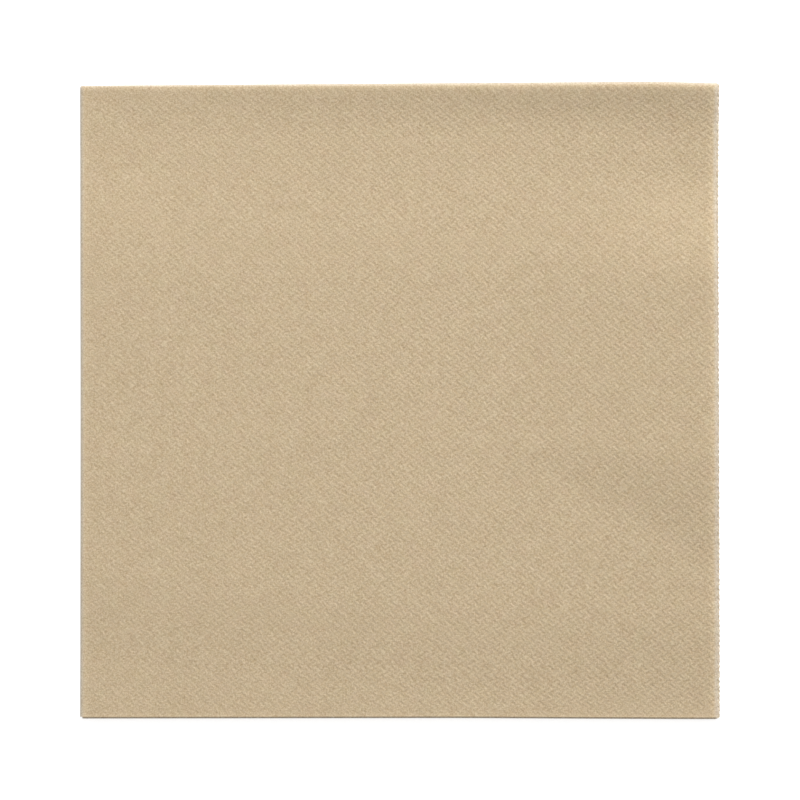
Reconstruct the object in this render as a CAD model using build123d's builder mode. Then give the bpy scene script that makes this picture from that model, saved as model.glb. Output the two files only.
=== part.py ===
from build123d import *
import os

# Paper napkin folded in four, lying flat, in millimetres.
# The first fold runs along X at the far side, +Y. The second runs along Y at the left, -X.
# The slit edges are at the near side, -Y, and the toothed cut edges at the right, +X.

# Overall size, folded
folded_width = 200.0  # along X, from the second fold to the cut edge of the lower pair
folded_depth = 199.5  # along Y, from the slit edge of the inner leaves to the crest of the first fold

# The paper and the air in the stack
paper = 0.5  # thickness of the embossed paper
leaf_gap = 0.2  # air between the two leaves of a pair
pair_gap = 0.2  # air between the lower pair and the upper pair

# Edges that don't quite meet
slit_step = 0.6  # the outer leaves end this far inside the inner leaves, along Y
cut_step = 0.9  # the upper pair ends this far inside the lower pair, along X
nip_width = 2.4  # corner clipped off between the slit edge and the cut edge, along X
nip_depth = 0.8  # and along Y

# Teeth that the blade leaves along the cut edges
tooth_pitch = 1.6
tooth_depth = 0.4
tooth_margin = 2.5  # from the slit edge and from the first fold to the first and last notch

# The first fold: tight at the closed corner, loosest at its crest, easing again at the cut edge
crest_inset = 20.0  # from the cut edge back to the crest
corner_setback = 1.0  # the fold lies this far behind its crest at the closed corner, along Y
end_setback = 0.5  # and this far behind it at the cut edge
puff_length = 18.0  # from the crest back to where the leaves lie flat
lower_rise = 0.5  # height that the loose fold adds to the lower pair, at the crest
upper_rise = 1.4  # and to the whole stack
lower_rise_end = 0.45  # the same two heights at the cut edge
upper_rise_end = 1.3

# Places that follow from the sizes
pair_height = 2 * paper + leaf_gap
upper_base = pair_height + pair_gap
stack_height = upper_base + pair_height
turn_height = stack_height / 2  # the second fold turns about a line at half the stack's height
turn_x = -folded_width / 2 + turn_height
lower_cut_x = folded_width / 2
upper_cut_x = lower_cut_x - cut_step
crest_x = lower_cut_x - crest_inset
crest_y = folded_depth / 2
flat_y = crest_y - puff_length
inner_slit_y = -folded_depth / 2
outer_slit_y = inner_slit_y + slit_step


def pair_section(x, base, tip, rise_below, rise_above, low_slit_y, high_slit_y):
    """One pair of leaves cut across at x: two flat legs that swell into a bend at the first fold."""
    top = base + pair_height
    bend_radius = (pair_height + rise_above - rise_below) / 2
    bend_y = tip - bend_radius
    bend_height = base + rise_below + bend_radius
    swell_y = (flat_y + bend_y) / 2

    def swell(height, rise):
        """One face of a leg between its flat part and the bend."""
        return Bezier(
            (flat_y, height),
            (swell_y, height),
            (swell_y, height + rise),
            (bend_y, height + rise),
        )

    with BuildSketch(Plane.YZ.offset(x)) as section:
        with BuildLine():
            low_outer = swell(base, rise_below)
            low_inner = swell(base + paper, rise_below)
            high_inner = swell(top - paper, rise_above)
            high_outer = swell(top, rise_above)
            ThreePointArc(low_outer @ 1, (tip, bend_height), high_outer @ 1)
            ThreePointArc(low_inner @ 1, (tip - paper, bend_height), high_inner @ 1)
            Polyline(low_outer @ 0, (low_slit_y, base), (low_slit_y, base + paper), low_inner @ 0)
            Polyline(high_inner @ 0, (high_slit_y, top - paper), (high_slit_y, top), high_outer @ 0)
        make_face()
    return section.sketch.face()


def lower_section(x, setback, rise):
    """The lower pair lies flat on its outer leaf, and only its inner leaf rises."""
    return pair_section(x, 0, crest_y - setback, 0, rise, outer_slit_y, inner_slit_y)


def upper_section(x, setback, rise_below, rise_above):
    """The upper pair rides over the lower pair, with its outer leaf on top."""
    tip = crest_y - setback
    return pair_section(x, upper_base, tip, rise_below, rise_above, inner_slit_y, outer_slit_y)


with BuildPart() as napkin:
    # Lower pair, from the second fold to the cut edge
    lower_turn = lower_section(turn_x, corner_setback, 0)
    lower_crest = lower_section(crest_x, 0, lower_rise)
    lower_end = lower_section(lower_cut_x, end_setback, lower_rise_end)
    loft([lower_turn, lower_crest, lower_end], ruled=True)

    # Second fold: both leaves turn over together, the outer round the inner
    turn_axis = Axis((turn_x, 0, turn_height), (0, 1, 0))
    revolve(lower_turn, axis=turn_axis, revolution_arc=180)

    # Upper pair, back from the second fold to its own cut edge
    upper_turn = upper_section(turn_x, corner_setback, 0, 0)
    upper_crest = upper_section(crest_x, 0, lower_rise, upper_rise)
    upper_end = upper_section(upper_cut_x, end_setback, lower_rise_end, upper_rise_end)
    loft([upper_turn, upper_crest, upper_end], ruled=True)

    # Notches between the teeth, in each pair's own cut edge
    tooth_run = folded_depth - end_setback - 2 * tooth_margin
    tooth_count = int(tooth_run // tooth_pitch) + 1
    lower_row = (lower_cut_x, -paper, turn_height + paper)
    upper_row = (upper_cut_x, turn_height, turn_height + upper_rise + paper)
    for cut_x, notch_base, notch_height in (lower_row, upper_row):
        with BuildSketch(Plane.XY.offset(notch_base)):
            with Locations((cut_x, -end_setback / 2)):
                with GridLocations(tooth_pitch, tooth_pitch, 1, tooth_count):
                    RegularPolygon(tooth_depth, 4)
        extrude(amount=notch_height, mode=Mode.SUBTRACT)

    # Corner clipped off beside the last tooth
    with BuildSketch(Plane.XY.offset(-paper)):
        with Locations((lower_cut_x, inner_slit_y)):
            Polygon((0, 0), (0, nip_depth), (-nip_width, 0), align=None)
    extrude(amount=stack_height + 2 * paper, mode=Mode.SUBTRACT)

napkin.part.label = "napkin"

os.makedirs("parts", exist_ok=True)
export_step(napkin.part, "parts/napkin.step")
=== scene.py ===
import math

import bpy
import numpy as np
from bpy.props import FloatProperty, FloatVectorProperty, PointerProperty
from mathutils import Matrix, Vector


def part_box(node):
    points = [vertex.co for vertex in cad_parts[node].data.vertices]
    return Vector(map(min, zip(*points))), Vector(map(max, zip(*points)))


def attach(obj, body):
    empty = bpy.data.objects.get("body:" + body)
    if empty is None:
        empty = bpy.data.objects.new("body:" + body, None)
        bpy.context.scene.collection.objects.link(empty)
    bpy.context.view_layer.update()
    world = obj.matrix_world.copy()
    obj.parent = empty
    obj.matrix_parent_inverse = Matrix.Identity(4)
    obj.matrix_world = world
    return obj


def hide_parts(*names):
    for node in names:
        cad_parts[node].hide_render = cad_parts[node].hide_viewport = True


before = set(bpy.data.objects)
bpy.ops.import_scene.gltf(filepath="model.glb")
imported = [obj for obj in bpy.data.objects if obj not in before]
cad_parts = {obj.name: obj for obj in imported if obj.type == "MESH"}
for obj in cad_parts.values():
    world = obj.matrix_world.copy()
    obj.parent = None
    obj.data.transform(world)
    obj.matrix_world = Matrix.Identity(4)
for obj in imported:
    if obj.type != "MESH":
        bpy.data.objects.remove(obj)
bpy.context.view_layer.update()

bl_info = {
    "name": "Folded Paper Napkin",
    "version": (1, 0, 0),
    "blender": (4, 5, 0),
    "location": "View3D > Sidebar > Napkin",
    "description": "Folds an embossed paper napkin in four and lays it on a white table",
    "category": "Object",
}

MM = 0.001
QUARTER_TURN = math.pi / 2
DIAGONAL = math.sqrt(0.5)

# The node of the imported part that the sheet stands in for, and the box it lies in
NODE = "napkin"
LOW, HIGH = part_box(NODE)

# What the sheet's mesh carries: each place on the flat paper, and how fully it is embossed
FLAT_UV = "flat_sheet"
PRESSED = "pressed"
UNPRESSED = 0.001  # anything less counts as plain

# The photograph's width and the napkin's in it, and how far its middle lies from the napkin's
PHOTO_PIXELS = 800
NAPKIN_PIXELS = 638.9
PHOTO_MIDDLE = (0.15 * MM, 0.45 * MM)


def length(name, description, default):
    """A size in metres that a user can change."""
    return FloatProperty(
        name=name, description=description, default=default, unit="LENGTH", precision=5
    )


def amount(name, description, default, **more):
    """A plain number that a user can change."""
    return FloatProperty(name=name, description=description, default=default, **more)


def turn(name, description, degrees):
    """An angle that a user can change."""
    return FloatProperty(
        name=name, description=description, default=math.radians(degrees), subtype="ANGLE"
    )


def tint(name, description, default):
    """A colour that a user can change."""
    return FloatVectorProperty(
        name=name, description=description, default=default, subtype="COLOR", min=0, max=1
    )


def channels(name, description, default):
    """One number each for red, green and blue."""
    return FloatVectorProperty(
        name=name, description=description, default=default, subtype="XYZ"
    )


class NapkinSheetSizes(bpy.types.PropertyGroup):
    """Sizes of the paper, its two folds and its open edges."""

    paper: length("Paper", "Thickness of the paper", 0.5 * MM)
    leaf_gap: length("Leaf gap", "Air between the two leaves of a pair", 0.2 * MM)
    pair_gap: length("Pair gap", "Air between the lower and the upper pair", 0.2 * MM)
    slit_step: length("Slit step", "Outer leaves end this far inside the inner ones", 0.6 * MM)
    cut_step: length("Cut step", "Upper pair ends this far inside the lower one", 0.9 * MM)
    nip_width: length("Nip width", "Clipped corner along the slit edge", 2.4 * MM)
    nip_depth: length("Nip depth", "Clipped corner along the cut edge", 0.8 * MM)
    tooth_depth: length("Tooth depth", "Deepest notch that the blade leaves", 0.4 * MM)
    crest_inset: length("Crest inset", "From the cut edge to the first fold's crest", 20 * MM)
    corner_setback: length("Corner setback", "First fold behind its crest at the corner", 1.0 * MM)
    end_setback: length("End setback", "First fold behind its crest at the cut edge", 0.5 * MM)
    puff_length: length("Puff length", "From the crest to where the leaves lie flat", 18 * MM)
    lower_rise: length("Lower rise", "Height the fold adds to the lower pair", 0.5 * MM)
    upper_rise: length("Upper rise", "Height the fold adds to the whole stack", 1.4 * MM)
    lower_rise_end: length("Lower rise at the end", "The same at the cut edge", 0.45 * MM)
    upper_rise_end: length("Upper rise at the end", "The same at the cut edge", 1.3 * MM)


class NapkinSwells(bpy.types.PropertyGroup):
    """Heights of the air under the top leaf."""

    corner_ridge: length("Corner ridge", "Behind the first fold, at the closed corner", 0.2 * MM)
    ridge: length("Ridge", "Behind the first fold, a little way from that corner", 0.4 * MM)
    open_ridge: length("Open ridge", "Behind the first fold, at the cut edge", 0.5 * MM)
    pillow: length("Pillow", "In the middle of the leaf", 0.55 * MM)
    open_pillow: length("Open pillow", "What the middle gains towards the cut edge", 0.5 * MM)
    side_pillow: length("Side pillow", "What it gains beside the second fold", 0.4 * MM)
    open_corner: length("Open corner", "Added where the leaf stands highest", 1.75 * MM)
    cut_press: length("Cut press", "How far the cut edge is pressed down", 0.15 * MM)


class NapkinEmboss(bpy.types.PropertyGroup):
    """The pressed pattern: short dashes that lean one way and the other by turns."""

    cell_u: length("Cell width", "Repeat along the first fold", 2.911 * MM)
    cell_v: length("Cell depth", "Repeat along the second fold", 2.873 * MM)
    shift_u: length("Shift along", "Where a dash lies along the first fold", 1.537 * MM)
    shift_v: length("Shift across", "Where a dash lies along the second fold", 2.132 * MM)
    dash_length: length("Dash length", "Straight part of a dash", 1.3 * MM)
    dash_width: length("Dash width", "Width of a dash at the surface", 1.3 * MM)
    relief: length("Relief", "How deep a dash is pressed into the top leaf", 0.08 * MM)
    wander: length("Wander", "How far a dash strays from its place", 0.3 * MM)
    uneven: amount("Uneven", "How much the depth of the dashes varies", 1.0)


class NapkinPaper(bpy.types.PropertyGroup):
    """Colour and surface of the paper."""

    colour: tint("Colour", "Natural brown of the paper", (0.5553, 0.4332, 0.277))
    # Paler, greyer colour at the folds and edges, also on the shaded overhang at the slit: partly
    # loose pale fibres, partly painted light
    fluff_colour: tint(
        "Fluff colour", "Loose pale fibres along the folds and the edges", (0.7, 0.64, 0.55)
    )
    fibre_tint: channels(
        "Fibre tint", "How strongly the fibres change each colour", (0.82, 1.02, 1.28)
    )
    hue_drift: channels(
        "Hue drift", "How far each colour drifts by itself over the pulp", (0.05, 0.045, 0.07)
    )
    roughness: amount("Roughness", "Matt finish of the fibres", 0.9, min=0, max=1)
    rough_range: amount("Roughness range", "How much it varies from clump to clump", 0.2)
    fuzz: amount("Fuzz", "Standing fibres that catch light from the side", 0.35, min=0, max=1)
    speck: length("Speck", "Size of the finest fibre specks", 0.5 * MM)
    clump: length("Clump", "Size of the fibre clumps", 2.2 * MM)
    cloud: length("Cloud", "Size of the soft clouds in the pulp", 9 * MM)
    drift: length("Drift", "Size of the patches where the hue drifts", 5 * MM)
    speck_tone: amount("Speck tone", "How much the specks change the colour", 1.0)
    clump_tone: amount("Clump tone", "How much the clumps change the colour", 0.205)
    cloud_tone: amount("Cloud tone", "How much the clouds change the colour", 0.075)
    speck_height: length("Speck height", "How far the specks stand up", 0.05 * MM)
    clump_height: length("Clump height", "How far the clumps stand up", 0.04 * MM)
    # Lighter paper near the cut and slit edges and along both folds: partly wear, partly painted
    # light
    cut_wear: length("Cut wear", "Width of the lighter paper at the cut edges", 3.5 * MM)
    cut_tone: amount("Cut tone", "How much lighter it is there", 0.17)
    cut_fluff: amount("Cut fluff", "How fully the pale fibres cover it", 0.55)
    slit_wear: length("Slit wear", "Width of the lighter paper at the slit edges", 1.5 * MM)
    slit_tone: amount("Slit tone", "How much lighter it is there", 0.1)
    slit_fluff: amount("Slit fluff", "How fully the fibres cover the overhang beyond it", 0.65)
    first_wear: length("First fold wear", "Width of the lighter paper beside it", 2.0 * MM)
    first_tone: amount("First fold tone", "How much lighter it is there", 0.28)
    first_fluff: amount("First fold fluff", "How fully the pale fibres cover it", 0.75)
    # Painted shade: how much the colour is darkened at the first fold's tip
    first_shade: amount("First fold shade", "How much the fibres there shade each other", 0.45)
    second_wear: length("Second fold wear", "Width of the lighter paper beside it", 3.5 * MM)
    second_tone: amount("Second fold tone", "How much lighter it is there", 0.08)
    second_fluff: amount("Second fold fluff", "How fully the pale fibres cover it", 0.7)


class NapkinStage(bpy.types.PropertyGroup):
    """Camera, lamp and table."""

    focal_length: amount("Focal length", "Lens of the camera", 120, unit="CAMERA")
    lamp_distance: length("Lamp distance", "From the napkin to the soft lamp", 3.0)
    lamp_size: length("Lamp size", "Side of the square soft lamp", 1.25)
    lamp_aim: length("Lamp aim", "Where it points, along X from the napkin's middle", -1.25)
    lamp_azimuth: turn("Lamp azimuth", "Turn of the lamp from +X towards +Y", 78.5)
    lamp_elevation: turn("Lamp elevation", "Height of the lamp above the table", 25)
    lamp_share: amount(
        "Lamp share", "Part of the light from the lamp, the rest is all round", 0.5, min=0, max=1
    )
    table_white: amount("Table white", "Light that the table sends back", 0.85, min=0, max=1)
    table_glow: amount("Table glow", "Light it adds towards the camera", 0.62, min=0)


def smooth(low, high, value):
    """0 at low, 1 at high and an even S between them; low may also be the larger one."""
    part = np.clip((value - low) / (high - low), 0, 1)
    return part * part * (3 - 2 * part)


def eased(x, stations, values, width, steps=9):
    """Straight lines between the stations with their corners rounded over a width."""
    shifts = np.linspace(-width / 2, width / 2, steps)
    return np.mean([np.interp(x + shift, stations, values) for shift in shifts], axis=0)


class FoldedSheet:
    """The napkin's sheet: where each place of the flat paper lies when it is folded in four.

    u runs across the second fold and v across the first, from 0 on the folds. Positive u is the
    upper pair of leaves and positive v the outer leaves.
    """

    SIDE_OUT, SIDE_IN = 1, -1

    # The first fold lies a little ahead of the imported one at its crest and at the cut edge
    CREST_LEAD, END_LEAD = 0.2 * MM, 0.1 * MM
    # The slit edges set back by these at three places along X, the cut edges at three along Y
    SLIT_STATIONS = (LOW.x, 0.2 * HIGH.x, 0.9 * HIGH.x)
    SLIT_SETBACKS = (0.55 * MM, 0.7 * MM, 0.35 * MM)
    CUT_STATIONS = (LOW.y, 0.6 * HIGH.y, HIGH.y)
    CUT_SETBACKS = (-0.45 * MM, 0.1 * MM, -0.2 * MM)
    SETBACK_EASE = 20 * MM
    # The second fold bows inwards in its middle
    TURN_BOW = 0.2 * MM

    # How far into the leaves the open edges, the first fold's tip and that bow are felt
    EDGE_REACH = 12 * MM
    TIP_REACH = 20 * MM
    BOW_REACH = 15 * MM

    # The puff behind the first fold is fuller than a parabola, up to a short turn at its crest
    PUFF_FULL, PUFF_TURN = 0.35, 10

    # Uneven notches: a fixed draw, and the shares of the full depth between and at the notches
    TOOTH_SEED = 7
    SHALLOW_SHARES, NOTCH_SHARES = (0, 0.3), (0.3, 1)

    # Spans of the swells along X, and then along -Y, where one starts and where it ends
    LEFT_SPAN = (LOW.x, LOW.x + 40 * MM)
    RIGHT_SPAN, RIGHT_POWER = (20 * MM, HIGH.x), 1.5
    RIDGE_STATIONS = (LOW.x, LOW.x + 15 * MM, HIGH.x)
    CUT_PRESS_SPAN = (HIGH.x - 7 * MM, HIGH.x)
    RIDGE_FALL = (-99 * MM, -68 * MM)
    PILLOW_RISE = (-75 * MM, -37 * MM)
    SIDE_RISE, SIDE_FALL = (-80 * MM, -52 * MM), (-45 * MM, 10 * MM)
    CORNER_RISE, CORNER_SAG = (-72 * MM, -35 * MM), (-48 * MM, 5 * MM)
    CORNER_SAG_SHARE = 0.1
    # The pillow's fall to the slit edge starts lower down along X, as far as it slants
    PILLOW_FALL_START, PILLOW_FALL_LENGTH = 51 * MM, 32 * MM
    PILLOW_SLANT, PILLOW_SLANT_END = 0.1, 140 * MM
    # The open corner's fall lies lower and gets longer past this place along X
    DIP_FROM, DIP_START, DIP_SLANT = 45 * MM, 18 * MM, 0.33
    DIP_REACH, DIP_SPREAD = 5 * MM, 0.3

    def __init__(self, sizes, swells):
        self.sizes, self.swells = sizes, swells
        self.pair_height = 2 * sizes.paper + sizes.leaf_gap
        self.stack_height = 2 * self.pair_height + sizes.pair_gap
        self.leaf_middle = (sizes.paper + sizes.leaf_gap) / 2
        self.pair_middle = (self.pair_height + sizes.pair_gap) / 2
        self.turn_z = self.stack_height / 2
        self.turn_x = LOW.x + self.turn_z
        self.bend_y = HIGH.y - self.leaf_middle - sizes.paper / 2
        self.turn_length = QUARTER_TURN * self.pair_middle
        self.bend_length = QUARTER_TURN * self.leaf_middle
        # Ends of the lower pair and of the inner leaves, then of the upper pair and the outer ones
        self.u_end = HIGH.x - self.turn_x + self.turn_length
        self.v_end = self.bend_y - LOW.y + self.bend_length
        self.upper_end = self.u_end - sizes.cut_step
        self.outer_end = self.v_end - sizes.slit_step

    def first_fold(self, x):
        """Setback of the fold, and its rise for the lower pair and for the stack, along X."""
        s = self.sizes
        stations = (self.turn_x, HIGH.x - s.crest_inset, HIGH.x)
        tables = (
            (s.corner_setback, -self.CREST_LEAD, s.end_setback - self.END_LEAD),
            (0, s.lower_rise, s.lower_rise_end),
            (0, s.upper_rise, s.upper_rise_end),
        )
        return [eased(x, stations, table, s.crest_inset / 2) for table in tables]

    def slit_edge(self, x, outer):
        """Y of the slit edge, with the corner clipped off the inner leaves."""
        s = self.sizes
        wave = eased(x, self.SLIT_STATIONS, self.SLIT_SETBACKS, self.SETBACK_EASE)
        nip = s.nip_depth * np.clip((x - HIGH.x + s.nip_width) / s.nip_width, 0, 1)
        return LOW.y + np.where(outer, s.slit_step + wave, np.maximum(wave, nip))

    def cut_edge(self, y, upper):
        """X of the cut edge: both pairs hang out further towards the slit edge."""
        skew = eased(y, self.CUT_STATIONS, self.CUT_SETBACKS, self.SETBACK_EASE)
        return HIGH.x - skew - np.where(upper, self.sizes.cut_step, 0)

    def teeth(self, y, upper):
        """Uneven notches along the cut edges at every other line, other ones on each pair."""
        random = np.random.default_rng(self.TOOTH_SEED)
        notches = random.uniform(*self.SHALLOW_SHARES, (2, y.shape[1]))
        notches[:, ::2] = random.uniform(*self.NOTCH_SHARES, notches[:, ::2].shape)
        place = np.broadcast_to(np.arange(y.shape[1]), y.shape)
        return self.sizes.tooth_depth * notches[upper.astype(int), place]

    def puff(self, y, crest):
        """1 on the crest of the first fold, easing to 0 where the leaves lie flat."""
        flat = HIGH.y - self.sizes.puff_length
        part = np.clip((y - flat) / (crest - flat), 0, 1)
        return part**2 * (1 + self.PUFF_FULL * (1 - part**self.PUFF_TURN))

    def swell(self, x, y):
        """How far the top leaf stands above its flat place; the leaves under it follow in part."""
        s, down = self.swells, -y
        left = 1 - smooth(*self.LEFT_SPAN, x)
        right = smooth(*self.RIGHT_SPAN, x) ** self.RIGHT_POWER
        # The first fold keeps the leaf up behind it, also at the tight corner
        ridge = np.interp(x, self.RIDGE_STATIONS, (s.corner_ridge, s.ridge, 0))
        ridge = ridge * self.puff(y, HIGH.y)
        ridge = ridge + s.open_ridge * right * (1 - smooth(*self.RIDGE_FALL, down))
        # Air under the middle of the leaf, from the valley behind the first fold to the slit edge
        along = np.minimum(x - LOW.x, self.PILLOW_SLANT_END)
        start = self.PILLOW_FALL_START + self.PILLOW_SLANT * along
        risen = smooth(*self.PILLOW_RISE, down)
        risen = risen * (1 - smooth(start, start + self.PILLOW_FALL_LENGTH, down))
        pillow = (s.pillow + s.open_pillow * right) * risen
        # More of it beside the second fold, soon falling again
        risen = smooth(*self.SIDE_RISE, down) * (1 - smooth(*self.SIDE_FALL, down))
        pillow = pillow + s.side_pillow * left * risen
        # The open corner stands highest, sags a little and ends in a slanting dip
        past = np.maximum(x - self.DIP_FROM, 0)
        dip = self.DIP_START + self.DIP_SLANT * past
        reach = self.DIP_REACH + self.DIP_SPREAD * past
        drop = self.CORNER_SAG_SHARE * smooth(*self.CORNER_SAG, down)
        drop = drop + smooth(dip - reach, dip + reach, down)
        corner = s.open_corner * right * smooth(*self.CORNER_RISE, down) * (1 - drop)
        return ridge + pillow + corner - s.cut_press * smooth(*self.CUT_PRESS_SPAN, x)

    def place(self, u, v, side):
        """Points of one side of the paper, for grids of u and v."""
        run = np.maximum(np.abs(u) - self.turn_length, 0)
        x = self.turn_x + run
        offset = side * self.sizes.paper / 2
        y, height, middle = self.over_first_fold(x, u > 0, v, offset)
        return self.over_second_fold(x, y, u, run, height, middle)

    def over_first_fold(self, x, upper, v, offset):
        """Y of the points, and their height from the middle of their pair.

        The last grid is that height again, for paper that is flat and has no thickness.
        """
        s, outer = self.sizes, v > 0
        leg = np.maximum(np.abs(v) - self.bend_length, 0)
        bend = np.clip(v / self.bend_length, -1, 1) * QUARTER_TURN
        setback, lower_rise, upper_rise = self.first_fold(x)
        rise_out = np.where(upper, upper_rise, 0)
        rise_in = np.where(upper, lower_rise, -lower_rise)
        radius = self.leaf_middle + (rise_out - rise_in) / 2

        flat_y = self.bend_y - leg
        near_slit = smooth(LOW.y + self.EDGE_REACH, LOW.y + s.slit_step, flat_y)
        slit_shift = self.slit_edge(x, outer) - np.where(outer, LOW.y + s.slit_step, LOW.y)
        near_tip = 1 - smooth(0, self.TIP_REACH, leg)
        tip_shift = self.leaf_middle - setback - radius
        y = flat_y + tip_shift * near_tip + slit_shift * near_slit
        y = y + (radius + offset) * np.cos(bend)

        settled = self.puff(y, self.bend_y - setback)
        on_leg = np.sign(v) * (self.leaf_middle + offset)
        on_leg = on_leg + np.where(outer, rise_out, rise_in) * settled
        on_bend = (radius + offset) * np.sin(bend) + (rise_out + rise_in) / 2
        return y, np.where(leg > 0, on_leg, on_bend), self.leaf_middle * np.sin(bend)

    def over_second_fold(self, x, y, u, run, height, middle):
        """Points of leaves that turn over in pairs, with their cut edges and swells."""
        s, upper = self.sizes, u > 0
        turned = np.clip(u / self.turn_length, -1, 1) * QUARTER_TURN
        near_end = smooth(HIGH.x - self.EDGE_REACH, HIGH.x, x)
        at_end = np.isclose(np.abs(u), np.where(upper, self.upper_end, self.u_end))
        straight_end = HIGH.x - np.where(upper, s.cut_step, 0)
        near_turn = 1 - smooth(0, self.BOW_REACH, run)
        x = x + (self.cut_edge(y, upper) - straight_end) * near_end
        x = x - np.where(at_end, self.teeth(y, upper), 0)
        x = x + self.TURN_BOW * (1 - (y / HIGH.y) ** 2) * near_turn
        x = x - (self.pair_middle + height) * np.cos(turned)
        z = self.turn_z + (self.pair_middle + height) * np.sin(turned)
        level = self.turn_z + (self.pair_middle + middle) * np.sin(turned)
        follow = (level - s.paper / 2) / (self.stack_height - s.paper)
        return np.stack([x, y, z + self.swell(x, y) * follow], axis=-1)


class SheetMesh:
    """Builds the closed mesh of the folded sheet: both sides of the paper and its cut rims.

    All the lines across the sheet reach its rims, but only some of them cross a plain leaf.
    """

    PLAIN_STEP = 0.8 * MM  # between lines on the leaves that aren't embossed
    SKIP = 15  # one in so many lines crosses a plain leaf
    BEND_STEPS = 10
    CELL_LINES = 4  # lines across one cell of the emboss, the first of them through a dash
    # Which way the cell's 16 faces are halved, so that edges run along the dashes and between them
    HALVED = np.array([[1, 1, 0, 1], [1, 0, 0, 0], [0, 0, 0, 1], [1, 0, 1, 1]], bool)
    # Where the points of a dash lie from its middle, in shares of its length and its width
    END_ALONG, FLANK_ALONG, FLANK_ACROSS = 0.44, 0.71, 0.51
    FADE = 1.5 * MM  # over which the emboss starts at the folds and ends at the edges
    # The emboss is shallower towards the second fold, and beside the first fold and the slit edge
    TURN_BITES, BEND_BITE, SLIT_BITE = (0.66, 0.88, 1), 0.6, 0.6
    BEND_BITE_REACH, SLIT_BITE_REACH = 12 * MM, 5 * MM

    def __init__(self, sheet, emboss):
        self.sheet, self.emboss = sheet, emboss

    def build(self):
        sheet, e = self.sheet, self.emboss
        u, u_from, u_cell = self.lines(
            sheet.turn_length, sheet.upper_end, sheet.u_end, e.cell_u, e.shift_u
        )
        v, v_from, v_cell = self.lines(
            sheet.bend_length, sheet.outer_end, sheet.v_end, e.cell_v, e.shift_v
        )
        plain = np.stack(np.meshgrid(u, v, indexing="ij"))
        gathered = plain.copy()
        moves = self.gather()[:, u_cell[u_from:-1, None], v_cell[v_from:-1]]
        gathered[:, u_from:-1, v_from:-1] += moves

        starts = ((len(u), u_from), (len(v), v_from))
        front_lines = [self.crossing(*start, 1) for start in starts]
        back_lines = [self.crossing(*start, self.SKIP) for start in starts]
        front = self.numbered(plain.shape[1:], front_lines, 0)
        back = self.numbered(plain.shape[1:], back_lines, front.max() + 1)
        halved = self.HALVED[u_cell[front_lines[0][:-1], None], v_cell[front_lines[1][:-1]]]
        leaves = self.triangles(front[np.ix_(*front_lines)], halved)
        backs = [face[::-1] for face in self.quads(back[np.ix_(*back_lines)])]
        edges = self.border(front, front_lines) + self.rims(front, back)
        edges += [face[::-1] for face in self.border(back, back_lines)]

        mesh = bpy.data.meshes.new("napkin_sheet")
        out = sheet.place(*gathered, sheet.SIDE_OUT)[front >= 0]
        inside = sheet.place(*plain, sheet.SIDE_IN)[back >= 0]
        mesh.from_pydata(np.concatenate([out, inside]).tolist(), [], leaves + backs + edges)
        flat = np.concatenate([gathered[:, front >= 0], plain[:, back >= 0]], axis=1).T
        pressed = self.pressed(flat)
        pressed[len(out) :] = 0
        mesh.attributes.new(PRESSED, "FLOAT", "POINT").data.foreach_set("value", pressed)
        self.add_flat_uv(mesh, flat)
        # Pressed faces are no larger than the creases between them, so they are flat, as edges are
        plain_leaves = pressed[np.array(leaves)].max(axis=1) < UNPRESSED
        smooth_faces = [plain_leaves, np.ones(len(backs), bool), np.zeros(len(edges), bool)]
        mesh.polygons.foreach_set("use_smooth", np.concatenate(smooth_faces))
        mesh.update()
        return mesh

    def lines(self, fold, end_pressed, end_plain, cell, shift):
        """Lines across one fold, the first embossed one's number and their places in a cell."""
        step = cell / self.CELL_LINES
        plain = np.arange(-end_plain, -fold - self.PLAIN_STEP / 2, self.PLAIN_STEP)
        bend = np.linspace(-fold, fold, self.BEND_STEPS + 1)
        first = math.ceil((fold + step / 2 - shift) / step)
        pressed = np.arange(first, (end_pressed - step / 2 - shift) / step) * step + shift
        lines = np.concatenate([plain, bend, pressed, [end_pressed]])
        pressed_from = len(plain) + len(bend)
        in_cell = (np.arange(len(lines)) - pressed_from + first) % self.CELL_LINES
        return lines, pressed_from, in_cell

    def gather(self):
        """How far each of a cell's 16 points moves to lie in or beside its dash, along u and v."""
        e = self.emboss
        step = np.array((e.cell_u, e.cell_v)) / self.CELL_LINES
        end = self.END_ALONG * e.dash_length
        flank_along = self.FLANK_ALONG * e.dash_length
        flank_across = self.FLANK_ACROSS * e.dash_width
        moves = np.zeros((2, self.CELL_LINES, self.CELL_LINES))
        for middle, lean in ((0, 1), (2, -1)):
            along = np.array((1, lean)) * DIAGONAL
            across = np.array((1, -lean)) * DIAGONAL
            for sign in (1, -1):
                points = (
                    ((sign, sign * lean), sign * end * along),
                    ((sign, 0), sign * (flank_along * along + flank_across * across)),
                    ((0, sign * lean), sign * (flank_along * along - flank_across * across)),
                )
                for place, wanted in points:
                    row, column = (middle + np.array(place)) % self.CELL_LINES
                    moves[:, row, column] = wanted - np.array(place) * step
        return moves

    def crossing(self, count, pressed_from, pressed_skip):
        """Lines that cross one side of the sheet, from inside one rim to inside the other."""
        bend_from = pressed_from - self.BEND_STEPS - 1
        behind = list(range(self.SKIP, bend_from - self.SKIP // 2, self.SKIP))
        bend = list(range(bend_from, pressed_from))
        first, stop = pressed_from + pressed_skip - 1, count - 1 - pressed_skip // 2
        return np.array(behind + bend + list(range(first, stop, pressed_skip)))

    @staticmethod
    def numbered(shape, lines, first):
        """Numbers of one side's points, on its rims and where its lines cross, and -1 elsewhere."""
        used = np.zeros(shape, bool)
        used[[0, -1]] = True
        used[:, [0, -1]] = True
        used[np.ix_(*lines)] = True
        numbers = np.full(shape, -1)
        numbers[used] = first + np.arange(used.sum())
        return numbers

    @staticmethod
    def quads(numbers):
        """Faces between neighbouring lines."""
        corners = (numbers[:-1, :-1], numbers[:-1, 1:], numbers[1:, 1:], numbers[1:, :-1])
        return np.stack(corners, axis=-1).reshape(-1, 4).tolist()

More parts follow.
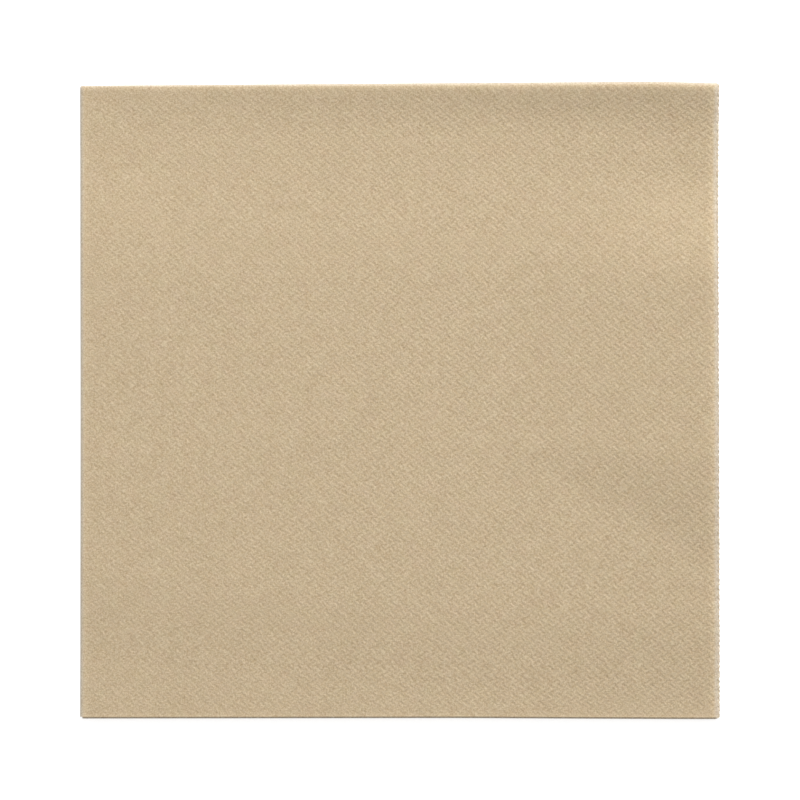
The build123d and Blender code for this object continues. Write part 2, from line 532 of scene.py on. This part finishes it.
    @staticmethod
    def triangles(numbers, halved):
        """The same faces, halved so that edges follow the dashes."""
        a, b, c, d = numbers[:-1, :-1], numbers[:-1, 1:], numbers[1:, 1:], numbers[1:, :-1]
        halved = halved[..., None]
        one = np.where(halved, np.stack([a, b, c], axis=-1), np.stack([a, b, d], axis=-1))
        two = np.where(halved, np.stack([a, c, d], axis=-1), np.stack([d, b, c], axis=-1))
        return np.concatenate([one.reshape(-1, 3), two.reshape(-1, 3)]).tolist()

    @staticmethod
    def around(numbers, a, b, c, d):
        """Points round the rectangle from line a to b and from line c to d."""
        sides = [numbers[a, c:d], numbers[a:b, d], numbers[b, d:c:-1], numbers[b:a:-1, c]]
        ring = np.concatenate(sides)
        return ring[ring >= 0].tolist()

    def border(self, numbers, lines):
        """Faces between a side's rims and the lines next to them."""
        rows, columns = [[0, *line, size - 1] for line, size in zip(lines, numbers.shape)]
        last_row, last_column = len(rows) - 2, len(columns) - 2
        faces = []
        for i in range(last_row + 1):
            # The whole of the first and the last row, and both ends of the rows between them
            along = range(last_column + 1) if i in (0, last_row) else (0, last_column)
            for j in along:
                faces.append(self.around(numbers, rows[i], rows[i + 1], columns[j], columns[j + 1]))
        return faces

    def rims(self, front, back):
        """Faces across the paper's thickness along its four edges."""
        whole = (0, front.shape[0] - 1, 0, front.shape[1] - 1)
        outer, inner = self.around(front, *whole), self.around(back, *whole)
        return [[outer[i], outer[i - 1], inner[i - 1], inner[i]] for i in range(len(outer))]

    @staticmethod
    def add_flat_uv(mesh, flat):
        """Each corner's place on the flat sheet, in metres."""
        corner = np.zeros(len(mesh.loops), np.int32)
        mesh.loops.foreach_get("vertex_index", corner)
        layer = mesh.uv_layers.new(name=FLAT_UV)
        layer.data.foreach_set("uv", flat[corner].astype(np.float32).ravel())

    def pressed(self, flat):
        """How fully the mesh is embossed: on the top leaf alone, fading at its folds and edges."""
        sheet = self.sheet
        u, v = flat.T
        bite = np.interp(u, (0, sheet.u_end / 2, sheet.u_end), self.TURN_BITES)
        slit = sheet.outer_end
        stations = (0, self.BEND_BITE_REACH, slit - self.SLIT_BITE_REACH, slit)
        bite *= np.interp(v, stations, (self.BEND_BITE, 1, 1, self.SLIT_BITE))
        across = (u, sheet.turn_length, sheet.upper_end), (v, sheet.bend_length, slit)
        for place, fold, end in across:
            bite *= smooth(fold, fold + self.FADE, place)
            bite *= 1 - smooth(end - self.FADE, end, place)
        return bite.astype(np.float32)


class Wires:
    """Adds nodes to a tree and joins them up; a value may be a number or another node's output."""

    def __init__(self, tree):
        self.tree = tree

    def node(self, kind, **settings):
        made = self.tree.nodes.new(kind)
        for name, value in settings.items():
            setattr(made, name, value)
        return made

    def feed(self, socket, value):
        if isinstance(value, bpy.types.NodeSocket):
            self.tree.links.new(value, socket)
        else:
            socket.default_value = value

    def fed(self, made, values):
        """The first output of a node whose inputs get these values in turn."""
        for socket, value in zip(made.inputs, values):
            self.feed(socket, value)
        return made.outputs[0]

    def math(self, operation, *values):
        return self.fed(self.node("ShaderNodeMath", operation=operation), values)

    def vector(self, operation, *values):
        return self.fed(self.node("ShaderNodeVectorMath", operation=operation), values)

    def ramp(self, value, low, high):
        """0 at low, 1 at high and an even S between them."""
        made = self.node("ShaderNodeMapRange", interpolation_type="SMOOTHSTEP")
        for name, given in (("Value", value), ("From Min", low), ("From Max", high)):
            self.feed(made.inputs[name], given)
        return made.outputs["Result"]

    def total(self, *parts):
        """Sum of some parts, each with its own weight before it."""
        added = 0.0
        for weight, part in parts:
            added = self.math("ADD", added, self.math("MULTIPLY", part, weight))
        return added

    def most(self, *parts):
        """The largest of some parts, each with its own weight before it."""
        largest = 0.0
        for weight, part in parts:
            largest = self.math("MAXIMUM", largest, self.math("MULTIPLY", part, weight))
        return largest


def fresh_wires(holder):
    """Empties the node tree of a material or a world."""
    holder.use_nodes = True
    holder.node_tree.nodes.clear()
    return Wires(holder.node_tree)


DASH_SIZES = ("cell_u", "cell_v", "shift_u", "shift_v", "dash_length", "dash_width")
RELIEF_SIZES = DASH_SIZES + ("relief", "wander", "uneven")
STRAYS_PER_CELL = 0.8  # how quickly the dashes' strays change from cell to cell


def pressed_dashes(wires, u, v, size):
    """1 in the middle of a pressed dash and 0 between the dashes, at a place of the flat sheet."""
    shares = []
    for lean, half_cell in ((-1.0, 0.0), (1.0, 0.5)):
        offsets = []
        for value, cell, shift in ((u, "cell_u", "shift_u"), (v, "cell_v", "shift_v")):
            moved = wires.math("SUBTRACT", value, size[shift])
            cells = wires.math("DIVIDE", moved, size[cell])
            part = wires.math("FRACT", wires.math("ADD", cells, half_cell))
            centred = wires.math("SUBTRACT", part, 0.5)
            offsets.append(wires.math("MULTIPLY", centred, size[cell]))
        leaning = wires.math("MULTIPLY", offsets[1], lean)
        along = wires.math("MULTIPLY", wires.math("ADD", offsets[0], leaning), DIAGONAL)
        across = wires.math("MULTIPLY", wires.math("SUBTRACT", offsets[0], leaning), DIAGONAL)
        half_length = wires.math("MULTIPLY", size["dash_length"], 0.5)
        beyond = wires.math("SUBTRACT", wires.math("ABSOLUTE", along), half_length)
        beyond = wires.math("MAXIMUM", beyond, 0.0)
        square = wires.math("MULTIPLY", across, across)
        square = wires.math("ADD", wires.math("MULTIPLY", beyond, beyond), square)
        half_width = wires.math("MULTIPLY", size["dash_width"], 0.5)
        beside = wires.ramp(wires.math("SQRT", square), 0.0, half_width)
        shares.append(wires.math("SUBTRACT", 1.0, beside))
    return wires.math("MAXIMUM", *shares)


def relief_tree():
    """Geometry nodes that press the dashes into the top leaf, each a little out of place."""
    tree = bpy.data.node_groups.new("press_dashes", "GeometryNodeTree")
    sockets = tree.interface
    sockets.new_socket("Geometry", in_out="INPUT", socket_type="NodeSocketGeometry")
    for name in RELIEF_SIZES:
        sockets.new_socket(name, in_out="INPUT", socket_type="NodeSocketFloat")
    sockets.new_socket("Paper", in_out="INPUT", socket_type="NodeSocketMaterial")
    sockets.new_socket("Geometry", in_out="OUTPUT", socket_type="NodeSocketGeometry")

    wires = Wires(tree)
    given = wires.node("NodeGroupInput").outputs

    def carried(name, kind):
        """What the mesh carries at each point under a name."""
        made = wires.node("GeometryNodeInputNamedAttribute", data_type=kind)
        made.inputs["Name"].default_value = name
        return made.outputs["Attribute"]

    def parts(vector):
        """The three parts of a vector."""
        made = wires.node("ShaderNodeSeparateXYZ")
        wires.feed(made.inputs[0], vector)
        return list(made.outputs)

    flat, share = carried(FLAT_UV, "FLOAT_VECTOR"), carried(PRESSED, "FLOAT")
    u, v, _ = parts(flat)
    noise = wires.node("ShaderNodeTexNoise")
    wires.feed(noise.inputs["Vector"], flat)
    wires.feed(noise.inputs["Scale"], wires.math("DIVIDE", STRAYS_PER_CELL, given["cell_u"]))
    noise.inputs["Detail"].default_value = 0.0
    strays = [wires.math("SUBTRACT", part, 0.5) for part in parts(noise.outputs["Color"])]

    uneven = wires.math("ADD", 1.0, wires.math("MULTIPLY", strays[2], given["uneven"]))
    depth = wires.math("MULTIPLY", wires.math("MULTIPLY", share, given["relief"]), uneven)
    depth = wires.math("MULTIPLY", pressed_dashes(wires, u, v, given), depth)
    inward = wires.node("ShaderNodeVectorMath", operation="SCALE")
    wires.feed(inward.inputs[0], wires.node("GeometryNodeInputNormal").outputs[0])
    wires.feed(inward.inputs["Scale"], wires.math("MULTIPLY", depth, -1.0))
    sideways = wires.node("ShaderNodeCombineXYZ")
    reach = wires.math("MULTIPLY", share, given["wander"])
    for socket, stray in zip(sideways.inputs, strays[:2]):
        wires.feed(socket, wires.math("MULTIPLY", stray, reach))

    press = wires.node("GeometryNodeSetPosition")
    wires.feed(press.inputs["Geometry"], given["Geometry"])
    moved = wires.vector("ADD", inward.outputs[0], sideways.outputs[0])
    wires.feed(press.inputs["Offset"], moved)
    realize = wires.node("GeometryNodeRealizeInstances")
    wires.feed(realize.inputs[0], press.outputs[0])
    finish = wires.node("GeometryNodeSetMaterial")
    wires.feed(finish.inputs["Geometry"], realize.outputs[0])
    wires.feed(finish.inputs["Material"], given["Paper"])
    wires.feed(wires.node("NodeGroupOutput").inputs[0], finish.outputs[0])
    return tree


def press_dashes(piece, emboss, paper):
    """Runs the relief tree on the sheet and keeps its result as a plain mesh."""
    tree = relief_tree()
    modifier = piece.modifiers.new("press_dashes", "NODES")
    modifier.node_group = tree
    for item in tree.interface.items_tree:
        if item.in_out == "INPUT" and item.name == "Paper":
            modifier[item.identifier] = paper
        elif item.in_out == "INPUT" and item.name != "Geometry":
            modifier[item.identifier] = getattr(emboss, item.name)
    graph = bpy.context.evaluated_depsgraph_get()
    pressed = bpy.data.meshes.new_from_object(piece.evaluated_get(graph))
    unpressed = piece.data
    piece.modifiers.clear()
    piece.data = pressed
    bpy.data.meshes.remove(unpressed)


class PaperFinish:
    """Natural brown paper: fibre specks and clumps, pressed dashes, and folds and edges paler from
    wear, loose fibres and painted light, with painted shade at the first fold's tip.
    """

    GLOSS = 0.2
    FUZZ_ROUGHNESS = 0.5
    NOISE_DETAIL = NOISE_ROUGHNESS = 1.0
    # The leaves beyond the folds have no dashes in their mesh, and get them as bump between these
    BUMP_START, BUMP_FULL = -1.5 * MM, -4 * MM
    # How wide the pale fibres and painted light are at the cut edges, on the overhang at the slit
    # and at the folds
    CUT_FLUFF_WIDTH, SLIT_FLUFF_WIDTH = 1.6 * MM, 0.3 * MM
    FIRST_FLUFF_WIDTH, SECOND_FLUFF_WIDTH = 0.8 * MM, 1.6 * MM
    # Width of the painted shade at the first fold's tip
    FIRST_SHADE_WIDTH = 0.6 * MM

    def __init__(self, paper, emboss, sheet):
        self.paper, self.emboss, self.sheet = paper, emboss, sheet
        self.material = bpy.data.materials.new("napkin_paper")
        self.wires = wires = fresh_wires(self.material)
        self.place = wires.node("ShaderNodeTexCoord").outputs["Object"]
        sizes = (paper.speck, paper.clump, paper.cloud)
        fields = [wires.math("SUBTRACT", self.noise(size, "Fac"), 0.5) for size in sizes]
        self.specks, self.clumps, self.clouds = fields
        flat = wires.node("ShaderNodeUVMap", uv_map=FLAT_UV)
        parts = wires.node("ShaderNodeSeparateXYZ")
        wires.feed(parts.inputs[0], flat.outputs["UV"])
        self.u, self.v = parts.outputs["X"], parts.outputs["Y"]

    def build(self):
        wires = self.wires
        surface = wires.node("ShaderNodeBsdfPrincipled")
        surface.inputs["Specular IOR Level"].default_value = self.GLOSS
        surface.inputs["Sheen Weight"].default_value = self.paper.fuzz
        surface.inputs["Sheen Roughness"].default_value = self.FUZZ_ROUGHNESS
        wires.feed(surface.inputs["Base Color"], self.colour())
        wires.feed(surface.inputs["Roughness"], self.roughness())
        bump = wires.node("ShaderNodeBump")
        bump.inputs["Strength"].default_value = 1.0
        bump.inputs["Distance"].default_value = 1.0
        wires.feed(bump.inputs["Height"], self.height())
        wires.feed(surface.inputs["Normal"], bump.outputs["Normal"])
        output = wires.node("ShaderNodeOutputMaterial")
        wires.feed(output.inputs["Surface"], surface.outputs[0])
        return self.material

    def noise(self, size, output):
        """Noise in clumps of one size."""
        made = self.wires.node("ShaderNodeTexNoise")
        self.wires.feed(made.inputs["Vector"], self.place)
        made.inputs["Scale"].default_value = 1 / size
        made.inputs["Detail"].default_value = self.NOISE_DETAIL
        made.inputs["Roughness"].default_value = self.NOISE_ROUGHNESS
        return made.outputs[output]

    def height(self):
        """Height of the fibres, and of the dashes on the leaves that the mesh leaves plain."""
        wires, paper, emboss = self.wires, self.paper, self.emboss
        size = {name: getattr(emboss, name) for name in DASH_SIZES}
        lower = wires.math("MINIMUM", self.u, self.v)
        plain = wires.math("SUBTRACT", 1.0, wires.ramp(lower, self.BUMP_FULL, self.BUMP_START))
        dashes = wires.math("MULTIPLY", pressed_dashes(wires, self.u, self.v, size), plain)
        return wires.total(
            (paper.speck_height, self.specks),
            (paper.clump_height, self.clumps),
            (-emboss.relief, dashes),
        )

    def roughness(self):
        """Dense clumps are a little smoother than loose ones."""
        vary = self.wires.math("MULTIPLY", self.clumps, self.paper.rough_range)
        return self.wires.math("ADD", self.paper.roughness, vary)

    def near(self, distance, width):
        """1 at an edge or a fold, easing to 0 at a distance from it."""
        return self.wires.math("SUBTRACT", 1.0, self.wires.ramp(distance, 0.0, width))

    def colour(self):
        """Brown paper, lighter and paler at the folds and edges from wear, loose fibres and painted
        light, with painted shade at the first fold's tip and the tone of its fibres.
        """
        wires, paper, near = self.wires, self.paper, self.near
        first, second = wires.math("ABSOLUTE", self.v), wires.math("ABSOLUTE", self.u)
        cut = wires.math("SUBTRACT", self.sheet.upper_end, second)
        slit = wires.math("SUBTRACT", self.sheet.outer_end, first)
        # Partly wear, partly painted light: the colour gets lighter towards the edges and folds
        wear = wires.total(
            (paper.cut_tone, near(cut, paper.cut_wear)),
            (paper.slit_tone, near(slit, paper.slit_wear)),
            (paper.first_tone, near(first, paper.first_wear)),
            (paper.second_tone, near(second, paper.second_wear)),
        )
        # Partly loose pale fibres, partly painted light: the colour turns paler at the folds and
        # edges, also on the shaded overhang at the slit
        fluff = wires.most(
            (paper.cut_fluff, near(cut, self.CUT_FLUFF_WIDTH)),
            (paper.slit_fluff, wires.ramp(slit, 0.0, -self.SLIT_FLUFF_WIDTH)),
            (paper.first_fluff, near(first, self.FIRST_FLUFF_WIDTH)),
            (paper.second_fluff, near(second, self.SECOND_FLUFF_WIDTH)),
        )
        worn = wires.vector("MULTIPLY", paper.colour, wires.math("ADD", wear, 1.0))
        fluffed = wires.node("ShaderNodeMix", data_type="RGBA")
        wires.feed(fluffed.inputs["Factor"], fluff)
        wires.feed(fluffed.inputs["A"], worn)
        fluffed.inputs["B"].default_value = (*paper.fluff_colour, 1)
        # Painted shade: the colour darkens towards the first fold's tip
        shade = wires.math("MULTIPLY", near(first, self.FIRST_SHADE_WIDTH), paper.first_shade)
        lit = wires.math("SUBTRACT", 1.0, shade)
        shaded = wires.vector("MULTIPLY", fluffed.outputs["Result"], lit)

        fibres = wires.total(
            (paper.speck_tone, self.specks),
            (paper.clump_tone, self.clumps),
            (paper.cloud_tone, self.clouds),
        )
        drift = wires.vector("SUBTRACT", self.noise(paper.drift, "Color"), (0.5, 0.5, 0.5))
        tone = wires.vector("MULTIPLY_ADD", fibres, paper.fibre_tint, (1.0, 1.0, 1.0))
        tone = wires.vector("MULTIPLY_ADD", drift, paper.hue_drift, tone)
        return wires.vector("MULTIPLY", shaded, tone)


def seen_light(wires, seen, unseen):
    """One shade for what the camera sees, also in gloss or through glass, and one for the rest."""
    path = wires.node("ShaderNodeLightPath").outputs
    seen_by = wires.math("MAXIMUM", path["Is Camera Ray"], path["Is Glossy Ray"])
    seen_by = wires.math("MAXIMUM", seen_by, path["Is Transmission Ray"])
    return wires.fed(wires.node("ShaderNodeMixShader"), (seen_by, unseen, seen))


def white_surround(fill):
    """White behind everything that the camera sees, and a soft fill from all round."""
    world = bpy.data.worlds.new("white_surround")
    wires = fresh_wires(world)
    shades = []
    for strength in (1.0, fill):
        shade = wires.node("ShaderNodeBackground")
        shade.inputs["Color"].default_value = (1, 1, 1, 1)
        shade.inputs["Strength"].default_value = strength
        shades.append(shade.outputs[0])
    output = wires.node("ShaderNodeOutputWorld")
    wires.feed(output.inputs["Surface"], seen_light(wires, *shades))
    return world


def white_table(white, glow):
    """A matt white table that also glows to the camera, so that it stays white but for shadows."""
    material = bpy.data.materials.new("white_table")
    wires = fresh_wires(material)
    matt = wires.node("ShaderNodeBsdfDiffuse")
    matt.inputs["Color"].default_value = (white, white, white, 1)
    glowing = wires.node("ShaderNodeEmission")
    glowing.inputs["Strength"].default_value = glow
    both = wires.fed(wires.node("ShaderNodeAddShader"), (matt.outputs[0], glowing.outputs[0]))
    output = wires.node("ShaderNodeOutputMaterial")
    wires.feed(output.inputs["Surface"], seen_light(wires, both, matt.outputs[0]))
    return material


class NAPKIN_OT_fold_sheet(bpy.types.Operator):
    """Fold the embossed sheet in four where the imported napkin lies"""

    bl_idname = "napkin.fold_sheet"
    bl_label = "Fold the Sheet"

    def execute(self, context):
        scene = context.scene
        sheet = FoldedSheet(scene.napkin_sheet, scene.napkin_swells)
        mesh = SheetMesh(sheet, scene.napkin_emboss).build()
        piece = bpy.data.objects.new("napkin_sheet", mesh)
        scene.collection.objects.link(piece)
        finish = PaperFinish(scene.napkin_paper, scene.napkin_emboss, sheet).build()
        press_dashes(piece, scene.napkin_emboss, finish)
        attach(piece, "root")
        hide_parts(NODE)
        return {"FINISHED"}


class NAPKIN_OT_set_stage(bpy.types.Operator):
    """Set up the white table, the soft lamp and the camera straight above"""

    bl_idname = "napkin.set_stage"
    bl_label = "Set the Stage"

    TABLE_SIDE = 4.0
    TABLE_DROP = 0.05 * MM  # keeps the table clear of the underside

    def execute(self, context):
        scene = context.scene
        self.lay_table(scene)
        self.hang_lamp(scene)
        scene.world = white_surround(1 - scene.napkin_stage.lamp_share)
        self.aim_camera(scene)
        scene.view_settings.view_transform = "Standard"
        return {"FINISHED"}

    def lay_table(self, scene):
        stage = scene.napkin_stage
        half = self.TABLE_SIDE / 2
        level = LOW.z - self.TABLE_DROP
        corners = [(x * half, y * half, level) for x, y in ((-1, -1), (1, -1), (1, 1), (-1, 1))]
        mesh = bpy.data.meshes.new("table")
        mesh.from_pydata(corners, [], [(0, 1, 2, 3)])
        mesh.materials.append(white_table(stage.table_white, stage.table_glow))
        table = bpy.data.objects.new("table", mesh)
        scene.collection.objects.link(table)

    def hang_lamp(self, scene):
        stage = scene.napkin_stage
        level = math.cos(stage.lamp_elevation)
        towards = Vector((
            level * math.cos(stage.lamp_azimuth),
            level * math.sin(stage.lamp_azimuth),
            math.sin(stage.lamp_elevation),
        ))
        lamp = bpy.data.lights.new("soft_lamp", "AREA")
        lamp.shape = "SQUARE"
        lamp.size = stage.lamp_size
        hung = bpy.data.objects.new("soft_lamp", lamp)
        hung.location = towards * stage.lamp_distance
        back = (hung.location - Vector((stage.lamp_aim, 0, 0))).normalized()
        hung.rotation_euler = back.to_track_quat("Z", "Y").to_euler()
        # Power at which the lamp lights a level white sheet by its share of full white
        spread = 1 - (stage.lamp_size / stage.lamp_distance) ** 2 / 3
        caught = towards.z * towards.dot(back) * spread
        lamp.energy = stage.lamp_share * math.pi**2 * stage.lamp_distance**2 / caught
        scene.collection.objects.link(hung)

    def aim_camera(self, scene):
        camera = bpy.data.cameras.new("above")
        camera.lens = scene.napkin_stage.focal_length
        frame_width = (HIGH.x - LOW.x) * PHOTO_PIXELS / NAPKIN_PIXELS
        distance = frame_width * camera.lens / camera.sensor_width
        # The outline is at half the stack's height, where the second fold turns
        outline = FoldedSheet(scene.napkin_sheet, scene.napkin_swells).turn_z
        above = bpy.data.objects.new("above", camera)
        above.location = (*PHOTO_MIDDLE, outline + distance)
        scene.collection.objects.link(above)
        scene.camera = above


class NAPKIN_PT_sidebar(bpy.types.Panel):
    """Sizes and finish of the napkin, and the steps that make it"""

    bl_idname = "NAPKIN_PT_sidebar"
    bl_label = "Paper Napkin"
    bl_space_type = "VIEW_3D"
    bl_region_type = "UI"
    bl_category = "Napkin"

    def draw(self, context):
        for group, operator in PANEL_ROWS:
            settings = getattr(context.scene, group)
            box = self.layout.box()
            for name in settings.bl_rna.properties.keys():
                if name not in ("rna_type", "name"):
                    box.prop(settings, name)
            if operator:
                box.operator(operator)


SETTINGS = {
    "napkin_sheet": NapkinSheetSizes,
    "napkin_swells": NapkinSwells,
    "napkin_emboss": NapkinEmboss,
    "napkin_paper": NapkinPaper,
    "napkin_stage": NapkinStage,
}
# Each group of settings, with the button that stands under it
PANEL_ROWS = (
    ("napkin_sheet", None),
    ("napkin_swells", None),
    ("napkin_emboss", None),
    ("napkin_paper", NAPKIN_OT_fold_sheet.bl_idname),
    ("napkin_stage", NAPKIN_OT_set_stage.bl_idname),
)
CLASSES = (*SETTINGS.values(), NAPKIN_OT_fold_sheet, NAPKIN_OT_set_stage, NAPKIN_PT_sidebar)


def register():
    for cls in CLASSES:
        bpy.utils.register_class(cls)
    for name, cls in SETTINGS.items():
        setattr(bpy.types.Scene, name, PointerProperty(type=cls))


def unregister():
    for name in SETTINGS:
        delattr(bpy.types.Scene, name)
    for cls in reversed(CLASSES):
        bpy.utils.unregister_class(cls)


def main():
    register()
    bpy.ops.napkin.fold_sheet()
    bpy.ops.napkin.set_stage()


if __name__ == "__main__":
    main()
